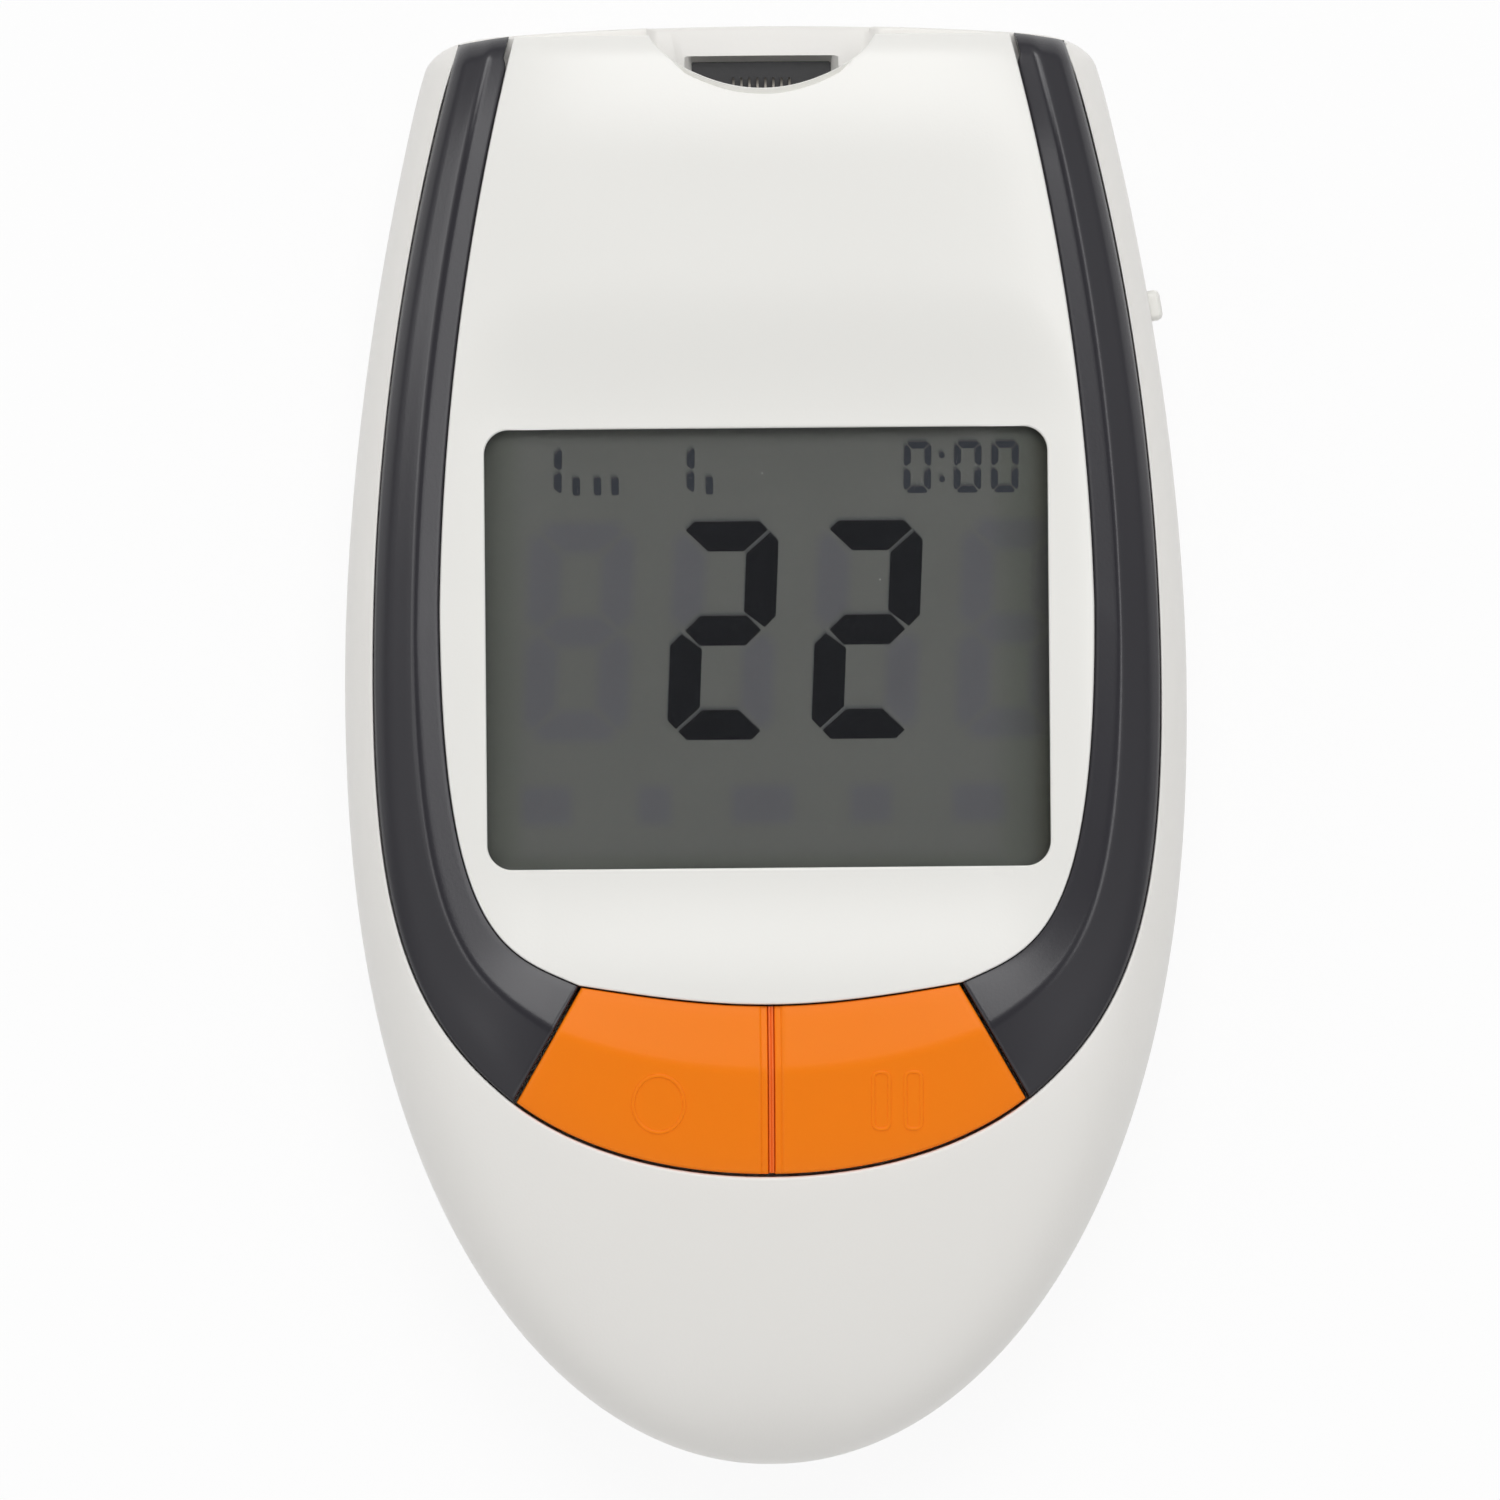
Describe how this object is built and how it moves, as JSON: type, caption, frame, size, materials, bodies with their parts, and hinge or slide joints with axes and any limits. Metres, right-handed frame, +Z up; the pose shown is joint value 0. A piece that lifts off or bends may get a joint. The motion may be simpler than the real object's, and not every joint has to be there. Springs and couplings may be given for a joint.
{
  "type": "blood glucose meter",
  "caption": "Handheld blood glucose meter: lofted white case, creased dark trims, two orange rocking keys, display window, strip port, strip ejector and battery door.",
  "frame": {"origin": "middle of the case at the level of the flat underside that it rests on", "axes": "+Z up through the display, +Y along the case towards the strip port, +X to the user's right"},
  "size_m": [0.058, 0.099, 0.0206],
  "materials": {
    "white_shell": "fine satin moulded plastic, off-white",
    "white_panel": "smooth satin moulded plastic, off-white",
    "dark_trim": "satin charcoal plastic",
    "orange_key": "soft satin orange plastic",
    "orange_web": "soft orange elastomer",
    "lens": "clear acrylic",
    "lcd": "grey-green liquid crystal display behind a polariser",
    "black_plastic": "black moulded plastic",
    "silicone": "striped conductive silicone",
    "switch_black": "black moulded plastic",
    "plunger_plastic": "light grey moulded plastic",
    "board_green": "green solder mask over glass fibre",
    "chip_black": "black moulded epoxy",
    "gold_contact": "gold-plated spring metal",
    "cell_sleeve": "plain printed sleeve on a steel can",
    "nickel": "nickel-plated spring steel",
    "screw_steel": "zinc-plated steel",
    "grey_plastic": "off-white moulded plastic"
  },
  "bodies": {
    "meter_body": {"rear_housing": "white_shell", "front_housing": "white_shell", "centre_panel": "white_panel", "trim_left": "dark_trim", "trim_right": "dark_trim", "display_lens": "lens", "lcd_glass": "lcd", "lcd_frame": "black_plastic", "lcd_connector": "silicone", "button_web": "orange_web", "switch_bodies": "switch_black", "circuit_board": "board_green", "board_chips": "chip_black", "buzzer": "chip_black", "strip_connector": "black_plastic", "strip_contacts": "gold_contact", "battery_cells": "cell_sleeve", "battery_plates": "nickel", "battery_springs": "nickel", "housing_screws": "screw_steel", "board_screws_set": "screw_steel"},
    "set_key": {"set_button": "orange_key", "set_plunger": "plunger_plastic"},
    "memory_key": {"memory_button": "orange_key", "memory_plunger": "plunger_plastic"},
    "ejector": {"ejector_slider": "grey_plastic"},
    "door": {"battery_door": "white_shell"}
  },
  "joints": [
    {"name": "set_press", "type": "hinge", "parent": "meter_body", "child": "set_key", "pos_m": [-0.0003, -0.023, 0.0163], "axis": [0, -1, 0], "range_deg": [0, 2.2], "stiffness_Nm_per_rad": 0.2},
    {"name": "memory_press", "type": "hinge", "parent": "meter_body", "child": "memory_key", "pos_m": [0.0003, -0.023, 0.0163], "axis": [0, 1, 0], "range_deg": [0, 2.2], "stiffness_Nm_per_rad": 0.2},
    {"name": "strip_eject", "type": "slide", "parent": "meter_body", "child": "ejector", "axis": [-0.1631, 0.9866, 0], "range_m": [0, 0.0035]},
    {"name": "door_open", "type": "hinge", "parent": "meter_body", "child": "door", "pos_m": [0, 0.0164, 0.00065], "axis": [1, 0, 0], "range_deg": [0, 45]}
  ]
}
